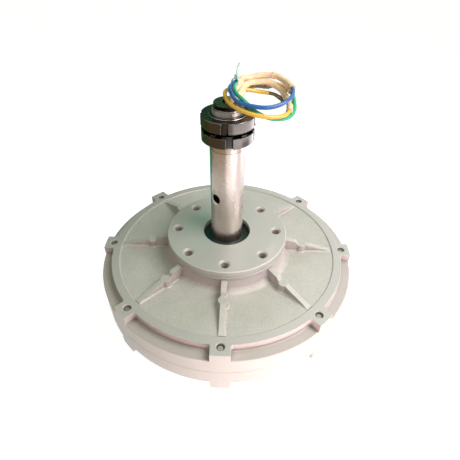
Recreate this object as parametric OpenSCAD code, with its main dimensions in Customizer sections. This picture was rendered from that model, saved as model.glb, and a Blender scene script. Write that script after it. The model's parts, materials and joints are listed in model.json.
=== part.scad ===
// Permanent magnet generator with a rotating ribbed casing on a hollow fixed shaft.
// Millimetres, +Z along the shaft. The origin is on the shaft axis, on the
// machined face of the lower hub flange, and one pair of casing lugs points to -Y.

/* [Casing] */
// Outer diameter of the casing wall and of the lugs
case_d = 415; // [350:1:500]
// Distance between the lug faces of the two covers
lug_span = 84; // [70:1:110]
// Height of the ledge between the lugs below the lug faces
ledge_drop = 14.5; // [8:0.5:20]
// Width of the ledge between the lugs
ledge_w = 16.5; // [14:0.5:20]
// Width of the machined ring inside the ledge
ring_w = 12; // [8:0.5:20]
// Drop from the machined ring to the cast disc inside it
disc_drop = 2; // [1:0.1:4]
// Width of the slope between them
step_w = 1.5; // [0.5:0.1:3]
// Fillet at the foot of the wall above the ledge
ledge_fillet = 3; // [1:0.5:5]
// Rounding of the casing's outer edges
case_round = 1.5; // [0.5:0.1:3]
// Chamfer on each side of the seam between the covers
seam_chamfer = 0.6; // [0.2:0.1:1.5]

/* [Lugs] */
// Number of clamping lugs, and of ribs
lug_count = 8; // [4:1:10]
// Width of a lug
lug_w = 28; // [22:1:34]
// Fillet where a lug leaves the ring
lug_fillet = 4; // [2:0.5:6]
// Distance of the lug holes from the casing's outer wall
bolt_inset = 13.5; // [10:0.5:14]
// Diameter of the clamping bolt holes
bolt_hole_d = 11; // [8:0.5:13]
// Diameter over the chamfer of a clamping bolt hole
bolt_mouth_d = 12.8; // [12:0.1:16]

/* [Hub flange] */
// Diameter of the hub flange
flange_d = 195; // [177:1:234]
// Height of the hub face above the lug faces
hub_rise = 37; // [31:1:46]
// Thickness of the hub flange
flange_t = 15; // [12:0.5:18]
// Height of the machined band at the top of the flange edge
flange_band = 11.5; // [6:0.5:11.5]
// Depth that machining takes off the flange edge
band_depth = 0.8; // [0.4:0.1:1.5]
// Amount by which the neck stands back under the flange edge
neck_back = 1.5; // [1:0.5:6]
// Amount by which the neck widens towards its foot
neck_draft = 3.5; // [0:0.5:5]
// Fillet at the foot of the neck
neck_fillet = 11; // [6:0.5:14]
// Pitch circle of the threaded flange holes
flange_pcd = 160; // [134:1:172]
// Number of threaded holes in the upper flange
flange_holes = 8; // [4:1:12]
// Core diameter of the threaded flange holes
flange_hole_d = 12; // [8:0.5:14]
// Diameter over the chamfer of a flange hole
flange_mouth_d = 17; // [15:0.1:18]
// Depth of the threaded flange holes
flange_hole_depth = 26; // [18:1:34]

/* [Ribs] */
// Width of a rib
rib_w = 8; // [6:0.5:11]
// Fillet at the foot of a rib and of its boss
rib_fillet = 3.5; // [1:0.5:4]
// Upright fillet between a rib and the neck
corner_fillet = 5; // [2:0.5:8]
// Gap between the flange's lower edge and the top of a rib
rib_gap = 1; // [0.5:0.5:3]
// Height of the rib's shoulder above the disc
shoulder_h = 18.5; // [16:0.5:21]
// Distance of the rib's shoulder from the neck
shoulder_out = 20; // [16:0.5:22]
// Distance of the round boss from the neck
boss_out = 29.5; // [29:0.5:41]
// Height of the round boss above the disc
boss_h = 13; // [8:0.5:14]
// Diameter of the round boss
boss_d = 15; // [12:0.5:17]
// Height at which a rib runs out at the machined ring
rib_end_h = 0.8; // [0.3:0.1:0.9]

/* [Bearings] */
// Outer diameter of the ball bearings
bearing_d = 80; // [78:0.5:96]
// Width of the ball bearings
bearing_w = 16; // [13:0.5:20]
// Width of the casing lip that holds the bearing in
lip_w = 2; // [1:0.1:3]
// Thickness of that lip, measured along the shaft
lip_t = 11; // [8:0.5:13]
// Wall of the bearing rings
ring_wall = 4.4; // [3.5:0.1:5.2]
// Depth of the seal below the bearing's face
seal_in = 0.7; // [0.3:0.1:1.5]
// Thickness of the seal
seal_t = 2; // [1:0.5:3]
// Running clearance between a seal and the ring or shaft inside it
seal_gap = 0.1; // [0.05:0.01:0.2]
// Height of the shaft seal above the bearing
shaft_seal_t = 3; // [2.5:0.1:4]

/* [Shaft] */
// Diameter of the shaft
shaft_d = 50; // [42:0.5:60]
// Height of the shaft end above the upper lug faces
shaft_rise = 250; // [190:1:320]
// Diameter of the hole through the shaft
shaft_bore_d = 15; // [14:0.5:20]
// Diameter of the threaded stub above the nuts
stub_d = 40; // [34:0.5:44]
// Diameter of the plain pilot at the shaft's end
pilot_d = 38; // [32:0.5:42]
// Height of the plain pilot
pilot_h = 6.5; // [4:0.5:9]
// Height of the cross hole above the upper lug faces
cross_rise = 110; // [60:1:130]
// Diameter of the cross hole
cross_d = 14.5; // [10:0.5:18]
// Direction of the cross hole, from -Y towards -X
cross_turn = 40.5; // [0:0.5:90]
// Distance of the shaft's lower end from the lower hub face
shaft_recess = 2; // [0.5:0.5:4]
// Diameter of the relief in the casing round the shaft
relief_d = 64; // [60:1:70]

/* [Lock nuts] */
// Width of a slotted lock nut from the shaft to its rim
nut_wall = 11; // [8:0.1:16]
// Thickness of a lock nut
nut_t = 16.5; // [13:0.5:20]
// Chamfer on the nut faces that meet the washer
nut_chamfer = 2.4; // [1:0.1:3.5]
// Number of spanner slots in a nut
nut_slots = 4; // [4:1:8]
// Width of a spanner slot
slot_w = 9.5; // [7:0.5:12]
// Depth of a spanner slot
slot_depth = 4; // [3:0.5:5]
// Height of the shaft's end above the upper nut
end_h = 15; // [10:0.5:24]
// Thickness of the tab washer
washer_t = 2; // [1.5:0.1:3]
// Width of the washer's tabs
tab_w = 6.5; // [5:0.5:8]
// Number of washer tabs
tab_count = 11; // [7:1:13]
// Height of the tab that is bent into a slot
bent_h = 6; // [3:0.5:9]
// Wall of the spacer ring below the nuts
spacer_wall = 1; // [0.8:0.1:4]
// Height of the spacer ring
spacer_h = 6.5; // [5:0.5:20]
// Clearance between the shaft and what sits on it
seat_gap = 0.05; // [0.02:0.01:0.2]

/* [Hidden] */
$fn = 96;
eps = 0.01;
// Depth to which the arc of a fillet runs into the faces that it joins
fillet_bite = 0.1;
bite = [fillet_bite, fillet_bite];

// Radii and heights of one cover, measured from the seam towards its hub face
case_r = case_d / 2;
rim_r = case_r - ledge_w;
disc_r = rim_r - ring_w;
bolt_r = case_r - bolt_inset;
lug_z = lug_span / 2;
ledge_z = lug_z - ledge_drop;
disc_z = lug_z - disc_drop;
hub_z = lug_z + hub_rise;
flange_r = flange_d / 2;
flange_z = hub_z - flange_t;
neck_r = flange_r - neck_back;
neck_foot_r = neck_r + neck_draft;
bearing_r = bearing_d / 2;
lip_r = bearing_r - lip_w;
relief_r = relief_d / 2;
seat_z = hub_z - lip_t;

// Heights of the whole generator, measured from the lower hub face
seam_at = hub_z;
lugs_at = seam_at + lug_z;
shaft_top = lugs_at + shaft_rise;
stub_at = shaft_top - end_h;
upper_nut_at = stub_at - nut_t;
washer_at = upper_nut_at - washer_t;
lower_nut_at = washer_at - nut_t;

// Running surfaces of the bearings
shaft_r = shaft_d / 2;
inner_ring_r = shaft_r + ring_wall;
outer_ring_bore_r = bearing_r - ring_wall;
nut_r = shaft_r + nut_wall;

// Turn of each washer tab; the upper nut is turned so that a slot meets the bent one
first_tab = 4;
bent_tab = 8;
bent_t = 1.5;
function tab_turn(i) = first_tab + i * 360 / tab_count;
upper_slot_turn = tab_turn(bent_tab);
lower_slot_turn = 6;

// External circlip at the shaft's lower end
circlip_t = 2;
circlip_r = shaft_r + 3.6;
groove_depth = 1.3;
circlip_at = lip_t - circlip_t;

// Leads: three risers lie against the bore's wall, and the coil hangs over its end
lead_d = 5;
lead_gap = 0.3;
riser_r = shaft_bore_d / 2 - lead_d / 2 - lead_gap;
riser_foot = -18;
riser_head = 5;
coil_centre = [41, -4.5, 10];
coil_tilt = [5.5, 7, 0];
coil_r = 41;
coil_w = 16;
coil_h = 22;
coil_corner = 5;
// Route of a lead that stands in the bore at a turn from -Y, and leans out above it
function riser_route(turn, lean) =
    let (x = riser_r * sin(turn), y = -riser_r * cos(turn))
    [[x, y, riser_foot], [x, y, riser_foot / 2], [x, y, -2], [x + lean.x, y + lean.y, riser_head]];
yellow_route = riser_route(33, [0, 0]);
green_route = riser_route(105, [0, 0]);
blue_route = riser_route(177, [0, 0]);

// Cable tie that gathers the coil
tie_turn = -140;
tie_gap = 0.3;
tie_t = 1.2;
tie_w = 3.6;
tie_head = [6.5, 5, 5];
tie_tail = [1.2, 2.6, 18];

// ---- helpers -------------------------------------------------------------

// Copies children() round the axis, the first one towards -Y
module round_copies(count, first = 0) {
    for (i = [0 : count - 1])
        rotate([0, 0, first + i * 360 / count]) children();
}

// Rectangle of a section from radius r0 to r1 and height z0 to z1
module band(r0, r1, z0, z1) {
    translate([r0, z0]) square([r1 - r0, z1 - z0]);
}

// Material left in the concave corner at the origin, towards +X and +Y
module fillet_corner(r) {
    difference() {
        translate([-eps, -eps]) square(r + eps);
        translate([r, r] - bite) circle(r);
    }
}

// Material to take off an outer upper corner at the origin
module rounding(r) {
    difference() {
        translate([-r, -r]) square(r + 1);
        translate([-r, -r]) circle(r);
    }
}

// ---- casing --------------------------------------------------------------

// Section of a cover, without the lugs and ribs
module cover_section() {
    difference() {
        union() {
            band(relief_r, case_r, 0, ledge_z);
            band(relief_r, rim_r, 0, disc_z);
            band(disc_r, rim_r, 0, lug_z);
            polygon([[disc_r - step_w, disc_z - 1], [disc_r - step_w, disc_z],
                     [disc_r, lug_z], [disc_r + 1, lug_z], [disc_r + 1, disc_z - 1]]);
            polygon([[relief_r, 0], [neck_foot_r, 0], [neck_foot_r, disc_z],
                     [neck_r, flange_z], [neck_r, hub_z - 1], [relief_r, hub_z - 1]]);
            band(relief_r, flange_r, flange_z, hub_z - flange_band);
            band(relief_r, flange_r - band_depth, flange_z, hub_z);
            neck_foot();
            translate([rim_r, ledge_z]) fillet_corner(ledge_fillet);
        }
        translate([case_r, ledge_z]) rounding(case_round);
        translate([case_r, 0]) rotate(45) square(seam_chamfer * sqrt(2), center = true);
        translate([flange_r - band_depth, hub_z]) rotate(45)
            square(band_depth * sqrt(2), center = true);
        band(0, lip_r, seat_z - eps, hub_z + 1);
        band(0, bearing_r, seat_z - bearing_w, seat_z);
    }
}

// Fillet between the neck's sloping wall and the disc, touching both
module neck_foot() {
    slope = atan(neck_draft / (flange_z - disc_z));
    centre = [neck_foot_r + neck_fillet * (1 - sin(slope)) / cos(slope), disc_z + neck_fillet];
    touch = centre - neck_fillet * [cos(slope), sin(slope)];
    difference() {
        polygon([[neck_r - 1, disc_z - eps], [centre.x, disc_z - eps], touch,
                 [neck_r - 1, touch.y]]);
        translate(centre - bite) circle(neck_fillet);
    }
}

// Plan of one lug with its root fillets, pointing to -Y
module lug_plan() {
    half = lug_w / 2;
    fillet_x = half + lug_fillet;
    fillet_y = sqrt(pow(rim_r + lug_fillet - fillet_bite, 2) - pow(fillet_x, 2));
    inside = (rim_r - 2) / (rim_r + lug_fillet);
    intersection() {
        circle(case_r, $fn = 200);
        union() {
            translate([-half, -case_r - 1]) square([lug_w, ledge_w + lug_fillet + 6]);
            for (side = [-1, 1]) scale([side, 1]) difference() {
                polygon([[half - 1, -fillet_y], [fillet_x, -fillet_y],
                         [fillet_x * inside, -fillet_y * inside],
                         [half - 1, -fillet_y * inside]]);
                translate([fillet_x, -fillet_y]) circle(lug_fillet);
            }
        }
    }
}

// Side outline of a rib: under the flange, over its shoulder and boss, down to the ring
module rib_outline() {
    low = disc_z - 1;
    boss_r = neck_r + boss_out;
    shoulder_r = neck_r + shoulder_out;
    end_r = disc_r - step_w - 0.6;
    // Height of the shoulder's slope, which two short facets ease in and out of
    fall = shoulder_h - boss_h;
    polygon([[neck_r - 3, low],
             [neck_r - 3, flange_z - rib_gap],
             [flange_r, flange_z - rib_gap],
             [shoulder_r - 2, disc_z + shoulder_h + 0.7],
             [shoulder_r, disc_z + shoulder_h - 0.12 * fall],
             [shoulder_r + 1.6, disc_z + boss_h + 0.4 * fall],
             [shoulder_r + 3, disc_z + boss_h + 0.1 * fall],
             [boss_r - 2, disc_z + boss_h],
             [boss_r + boss_d / 2 - 0.5, disc_z + boss_h],
             [end_r, disc_z + rib_end_h],
             [end_r, low]]);
}

// Plan of the upright fillet between a rib along -Y and the neck, on the +X side
module corner_plan() {
    r = corner_fillet;
    x = rib_w / 2 + r - fillet_bite;
    y = sqrt(pow(neck_r + r - fillet_bite, 2) - pow(x, 2));
    inside = (neck_r - 3) / (neck_r + r);
    difference() {
        polygon([[rib_w / 2 - 1, -y], [x, -y], [x * inside, -y * inside],
                 [rib_w / 2 - 1, -y * inside]]);
        translate([x, -y]) circle(r);
    }
}

// One rib along -Y: its side outline crossed with its own section, and its boss
module rib() {
    low = disc_z - 1;
    boss_r = neck_r + boss_out;
    intersection() {
        rotate([90, 0, -90]) linear_extrude(rib_w + 2 * rib_fillet, center = true) rib_outline();
        rotate([90, 0, 0]) linear_extrude(disc_r) {
            translate([-rib_w / 2, low]) square([rib_w, hub_z - low]);
            for (side = [-1, 1]) scale([side, 1])
                translate([rib_w / 2, disc_z]) fillet_corner(rib_fillet);
        }
    }
    for (side = [-1, 1]) scale([side, 1, 1])
        translate([0, 0, low]) linear_extrude(flange_z - rib_gap - 1 - low) corner_plan();
    translate([0, -boss_r, low]) cylinder(d = boss_d, h = boss_h + disc_z - low);
    translate([0, -boss_r, disc_z]) rotate_extrude()
        translate([boss_d / 2, 0]) fillet_corner(rib_fillet);
}

// A cover, standing on the seam with its hub face up
module cover() {
    difference() {
        union() {
            rotate_extrude($fn = 200) cover_section();
            linear_extrude(lug_z) round_copies(lug_count) lug_plan();
            round_copies(lug_count) rib();
        }
        round_copies(lug_count) translate([0, -bolt_r, 0]) {
            translate([0, 0, -1]) cylinder(d = bolt_hole_d, h = lug_z + 2, $fn = 48);
            mouth(bolt_hole_d, bolt_mouth_d, lug_z);
        }
    }
}

// What the threaded holes take out of a cover's hub face
module flange_drilling() {
    round_copies(flange_holes) translate([0, -flange_pcd / 2, 0]) {
        translate([0, 0, hub_z - flange_hole_depth])
            cylinder(d = flange_hole_d, h = flange_hole_depth + 1, $fn = 48);
        mouth(flange_hole_d, flange_mouth_d, hub_z);
    }
}

// Chamfer of a hole whose mouth lies at height z
module mouth(hole_d, mouth_d, z) {
    depth = (mouth_d - hole_d) / 2;
    translate([0, 0, z - depth])
        cylinder(d1 = hole_d, d2 = mouth_d + 2, h = depth + 1, $fn = 48);
}

// Puts children() that stand on the seam on the upper or the lower side
module upper_side() {
    translate([0, 0, seam_at]) children();
}
module lower_side() {
    translate([0, 0, seam_at]) mirror([0, 0, 1]) children();
}

module upper_cover() {
    color("LightGray") upper_side() difference() {
        cover();
        flange_drilling();
    }
}
module lower_cover() {
    color("LightGray") lower_side() cover();
}

// ---- bearings ------------------------------------------------------------

// Ring of rectangular section with broken edges
module plain_ring(r_in, r_out, h, edge = 0.5) {
    rotate_extrude() polygon([[r_in, edge], [r_in + edge, 0], [r_out - edge, 0],
                              [r_out, edge], [r_out, h - edge], [r_out - edge, h],
                              [r_in + edge, h], [r_in, h - edge]]);
}

module bearing_outer_ring() {
    translate([0, 0, seat_z - bearing_w])
        plain_ring(outer_ring_bore_r, bearing_r, bearing_w);
}
module bearing_inner_ring() {
    translate([0, 0, seat_z - bearing_w])
        plain_ring(shaft_r + seat_gap, inner_ring_r, bearing_w);
}
module bearing_seal() {
    for (z = [seat_z - seal_in - seal_t, seat_z - bearing_w + seal_in])
        translate([0, 0, z])
            plain_ring(inner_ring_r + seal_gap, outer_ring_bore_r, seal_t, 0.3);
}

// Pressed into the lip over the bearing: a flat rim, a valley and a lip at the shaft
module shaft_seal() {
    rim = 2.5;
    valley = 0.5 * shaft_seal_t;
    translate([0, 0, seat_z + 0.4]) rotate_extrude() polygon([
        [shaft_r + seal_gap, 0],
        [lip_r, 0],
        [lip_r, shaft_seal_t],
        [lip_r - rim, shaft_seal_t],
        [lip_r - rim - 1, valley],
        [shaft_r + 4, valley],
        [shaft_r + 1.2, shaft_seal_t],
        [shaft_r + seal_gap, shaft_seal_t]]);
}

module upper_bearing_outer_ring() {
    color("Silver") upper_side() bearing_outer_ring();
}
module lower_bearing_outer_ring() {
    color("Silver") lower_side() bearing_outer_ring();
}
module upper_bearing_inner_ring() {
    color("Silver") upper_side() bearing_inner_ring();
}
module lower_bearing_inner_ring() {
    color("Silver") lower_side() bearing_inner_ring();
}
module upper_bearing_seal() {
    color("DimGray") upper_side() bearing_seal();
}
module lower_bearing_seal() {
    color("DimGray") lower_side() bearing_seal();
}

module upper_shaft_seal() {
    color("DimGray") upper_side() shaft_seal();
}

// ---- shaft and what it carries -------------------------------------------

module shaft() {
    edge = 1;
    color("RosyBrown") difference() {
        rotate_extrude() polygon([
            [0, shaft_recess],
            [shaft_r - edge, shaft_recess],
            [shaft_r, shaft_recess + edge],
            [shaft_r, circlip_at],
            [shaft_r - groove_depth, circlip_at],
            [shaft_r - groove_depth, circlip_at + circlip_t],
            [shaft_r, circlip_at + circlip_t],
            [shaft_r, stub_at - edge],
            [shaft_r - edge, stub_at],
            [stub_d / 2, stub_at],
            [stub_d / 2, shaft_top - pilot_h],
            [pilot_d / 2, shaft_top - pilot_h],
            [pilot_d / 2, shaft_top - edge],
            [pilot_d / 2 - edge, shaft_top],
            [0, shaft_top]]);
        translate([0, 0, -1]) cylinder(d = shaft_bore_d, h = shaft_top + 2);
        translate([0, 0, shaft_top - edge])
            cylinder(d1 = shaft_bore_d, d2 = shaft_bore_d + 4 * edge, h = 2 * edge);
        rotate([0, 0, -cross_turn]) translate([0, 0, lugs_at + cross_rise])
            rotate([90, 0, 0]) {
                cylinder(d = cross_d, h = shaft_d);
                translate([0, 0, shaft_r - 1.6]) cylinder(d1 = cross_d, d2 = cross_d + 6, h = 3);
            }
    }
}

// Open spring ring in its groove
module shaft_circlip() {
    ear_r = 3.2;
    color("DimGray") translate([0, 0, circlip_at]) linear_extrude(circlip_t)
        difference() {
            union() {
                circle(circlip_r);
                for (side = [-1, 1]) rotate(side * 11)
                    translate([0, -shaft_r - 3.6]) circle(ear_r, $fn = 32);
            }
            circle(shaft_r - groove_depth + seat_gap);
            translate([-2.2, -circlip_r - 6]) square([4.4, 12]);
            for (side = [-1, 1]) rotate(side * 11)
                translate([0, -shaft_r - 3.6]) circle(1.25, $fn = 24);
        }
}

module spacer_ring() {
    color("Tan") translate([0, 0, lower_nut_at - spacer_h])
        plain_ring(shaft_r + seat_gap, shaft_r + spacer_wall, spacer_h, spacer_wall / 4);
}

// Slotted round nut, standing on its plain face
module lock_nut(first_slot) {
    edge = 0.8;
    difference() {
        rotate_extrude() polygon([
            [shaft_r + seat_gap, 0],
            [nut_r - edge, 0],
            [nut_r, edge],
            [nut_r, nut_t - nut_chamfer],
            [nut_r - 1.8 * nut_chamfer, nut_t],
            [shaft_r + seat_gap, nut_t]]);
        round_copies(nut_slots, first_slot)
            translate([-slot_w / 2, -nut_r - 1, -1])
                cube([slot_w, slot_depth + 1, nut_t + 2]);
    }
}

module lower_lock_nut() {
    color("DarkSlateGray") translate([0, 0, lower_nut_at]) lock_nut(lower_slot_turn);
}
module upper_lock_nut() {
    color("DarkSlateGray") translate([0, 0, upper_nut_at + nut_t])
        mirror([0, 0, 1]) lock_nut(upper_slot_turn);
}

// Washer whose tabs stand out between the nuts; one is bent into a slot
module tab_washer() {
    floor_r = nut_r - slot_depth;
    root_r = floor_r - 1;
    bent_from = floor_r + 2 * seat_gap;
    color("Black") translate([0, 0, washer_at]) {
        linear_extrude(washer_t) difference() {
            union() {
                circle(root_r);
                for (i = [0 : tab_count - 1]) if (i != bent_tab)
                    rotate(tab_turn(i)) translate([-tab_w / 2, -nut_r - 1])
                        square([tab_w, nut_r - shaft_r]);
            }
            circle(shaft_r + seat_gap);
        }
        rotate([0, 0, tab_turn(bent_tab)]) translate([-tab_w / 2, -bent_from - bent_t, 0]) {
            cube([tab_w, bent_t + slot_depth, washer_t]);
            cube([tab_w, bent_t, washer_t + bent_h]);
        }
    }
}

// ---- leads ---------------------------------------------------------------

// Unit vector along v
function unit(v) = v / norm(v);

// Direction of a route at its point i
function heading(route, i) =
    unit(route[min(i + 1, len(route) - 1)] - route[max(i - 1, 0)]);

// Round tube along a route that climbs, as one closed skin
module tube(route, d, sides = 10) {
    rings = len(route);
    function across(i) = unit(cross([0, 1, 0], heading(route, i)));
    points = [for (i = [0 : rings - 1], s = [0 : sides - 1])
        let (a = s * 360 / sides, x = across(i), y = cross(heading(route, i), x))
        route[i] + d / 2 * (cos(a) * x + sin(a) * y)];
    walls = [for (i = [0 : rings - 2], s = [0 : sides - 1])
        let (n = (s + 1) % sides)
        [i * sides + s, (i + 1) * sides + s, (i + 1) * sides + n, i * sides + n]];
    foot = [for (s = [0 : sides - 1]) s];
    head = [for (s = [sides - 1 : -1 : 0]) (rings - 1) * sides + s];
    polyhedron(points, concat([foot], [head], walls), convexity = 4);
}

module lead_riser(route) {
    translate([0, 0, shaft_top]) tube(route, lead_d);
}
module yellow_lead() { color("Gold") lead_riser(yellow_route); }
module green_lead() { color("MediumSeaGreen") lead_riser(green_route); }
module blue_lead() { color("RoyalBlue") lead_riser(blue_route); }

// Puts children() made round the coil's own axis in their place
module at_coil() {
    translate([0, 0, shaft_top]) translate(coil_centre) rotate(coil_tilt) children();
}

// Section of the bundled turns, grown by a margin
module bundle_section(grow = 0) {
    r = coil_corner + grow;
    w = coil_w / 2 + grow;
    h = coil_h / 2 + grow;
    square([2 * w - 2 * r, 2 * h], center = true);
    square([2 * w, 2 * h - 2 * r], center = true);
    for (x = [r - w, w - r], y = [r - h, h - r]) translate([x, y]) circle(r, $fn = 32);
}

module lead_coil() {
    color("Wheat") at_coil() rotate_extrude() translate([coil_r, 0]) bundle_section();
}

// Strap round the bundle with its head and a standing tail
module cable_tie() {
    outside = coil_w / 2 + tie_gap + tie_t;
    color("PaleTurquoise") at_coil() rotate([0, 0, tie_turn]) translate([0, -coil_r, 0]) {
        rotate([90, 0, 90]) linear_extrude(tie_w, center = true) difference() {
            bundle_section(tie_gap + tie_t);
            bundle_section(tie_gap);
        }
        translate([-tie_head.x / 2, -tie_head.y / 2, coil_h / 2 + tie_gap + tie_t / 2])
            cube(tie_head);
        translate([-tie_tail.y / 2, -tie_tail.x / 2, coil_h / 2 + tie_gap + tie_t / 2])
            cube([tie_tail.y, tie_tail.x, tie_tail.z + tie_head.z]);
    }
}

// ---- nodes ---------------------------------------------------------------

upper_cover();
lower_cover();
upper_bearing_outer_ring();
lower_bearing_outer_ring();
upper_bearing_seal();
lower_bearing_seal();
upper_shaft_seal();
shaft();
upper_bearing_inner_ring();
lower_bearing_inner_ring();
shaft_circlip();
spacer_ring();
lower_lock_nut();
tab_washer();
upper_lock_nut();
yellow_lead();
green_lead();
blue_lead();
lead_coil();
cable_tie();
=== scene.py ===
"""Looks of the permanent magnet generator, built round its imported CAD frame, in metres."""
import json
import math
import random

import bmesh
import bpy
from mathutils import Matrix, Vector


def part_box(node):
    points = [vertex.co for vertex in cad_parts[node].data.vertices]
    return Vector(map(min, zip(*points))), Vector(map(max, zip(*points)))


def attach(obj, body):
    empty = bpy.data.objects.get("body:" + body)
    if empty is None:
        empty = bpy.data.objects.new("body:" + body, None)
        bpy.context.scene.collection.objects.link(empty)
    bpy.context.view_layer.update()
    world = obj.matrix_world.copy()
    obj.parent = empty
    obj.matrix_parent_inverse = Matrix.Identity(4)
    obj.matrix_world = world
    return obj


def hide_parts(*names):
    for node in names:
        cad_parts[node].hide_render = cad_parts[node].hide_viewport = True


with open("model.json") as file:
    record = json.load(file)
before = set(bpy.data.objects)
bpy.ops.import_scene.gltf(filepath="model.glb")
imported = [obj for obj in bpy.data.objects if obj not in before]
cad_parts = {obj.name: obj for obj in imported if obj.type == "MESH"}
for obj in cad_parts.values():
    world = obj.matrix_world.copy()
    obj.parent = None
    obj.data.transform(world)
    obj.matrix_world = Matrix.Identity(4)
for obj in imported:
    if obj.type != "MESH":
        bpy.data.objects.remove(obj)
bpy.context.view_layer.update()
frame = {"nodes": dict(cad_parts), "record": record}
nodes = frame["nodes"]
mm = 0.001


# ---- sizes that come from the frame --------------------------------------

def top_of(node):
    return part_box(node)[1][2]


def foot_of(node):
    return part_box(node)[0][2]


SEAM_Z = foot_of("upper_cover")
HUB_Z = top_of("upper_cover")
CASE_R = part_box("upper_cover")[1][0]
SHAFT_TOP = top_of("shaft")
NUT_TOP = top_of("upper_lock_nut")
NUT_FOOT = foot_of("lower_lock_nut")

# Sizes of the CAD model that its boxes don't give
LUG_RISE = 42 * mm      # the lugs' faces, above and below the seam
LUG_COUNT = 8
BOLT_INSET = 13.5 * mm  # from the case's outer wall to the bolt circle
RING_R = 179 * mm       # inner edge of the turned ring round the cast disc
FLANGE_R = 97.5 * mm
BAND_R = 96.7 * mm      # turned band on the flange's side
BAND_H = 11.5 * mm
STUB_R = 20 * mm        # the shaft's threaded end
PILOT_H = 6.5 * mm      # plain end of the stub
BORE_R = 7.5 * mm       # cable bore

# Places that follow from them
HUB_RISE = HUB_Z - SEAM_Z
LUGS_Z = SEAM_Z + LUG_RISE
LOWER_LUGS_Z = SEAM_Z - LUG_RISE
BOLT_CIRCLE_R = CASE_R - BOLT_INSET
THREAD_TOP = SHAFT_TOP - PILOT_H


# ---- camera --------------------------------------------------------------

CAMERA_AT = (0.01678846, -0.45664855, 0.54657892)
CAMERA_FORWARD = (-0.01937341, 0.76031394, -0.64926681)
CAMERA_ROLL = -0.88312  # degrees
CAMERA_LENS = 28.52     # millimetres, on a sensor 36 mm wide


def add_camera():
    forward = Vector(CAMERA_FORWARD).normalized()
    roll = Matrix.Rotation(math.radians(CAMERA_ROLL), 3, forward)
    right = roll @ forward.cross(Vector((0, 0, 1))).normalized()
    up = right.cross(forward)
    turn = Matrix((right, up, -forward)).transposed().to_4x4()
    data = bpy.data.cameras.new("camera")
    data.sensor_width = 36
    data.lens = CAMERA_LENS
    data.clip_end = 60
    camera = bpy.data.objects.new("camera", data)
    camera.matrix_world = Matrix.Translation(CAMERA_AT) @ turn
    bpy.context.scene.collection.objects.link(camera)
    bpy.context.scene.camera = camera


add_camera()


# ---- node helpers --------------------------------------------------------

STEP = 0.05 * mm  # half the width of the change between two finishes
HAIR = 0.1 * mm   # keeps the start of a finish clear of the face it belongs to
EDGE_GAIN = 6.0
AO_SAMPLES = 6
LEVEL_OVER = 0.7  # upward part of the normal over which a face counts as level


def rgba(colour):
    """A colour for a socket: another socket, or three numbers with full alpha added."""
    return colour if isinstance(colour, bpy.types.NodeSocket) else (*colour, 1)


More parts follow.
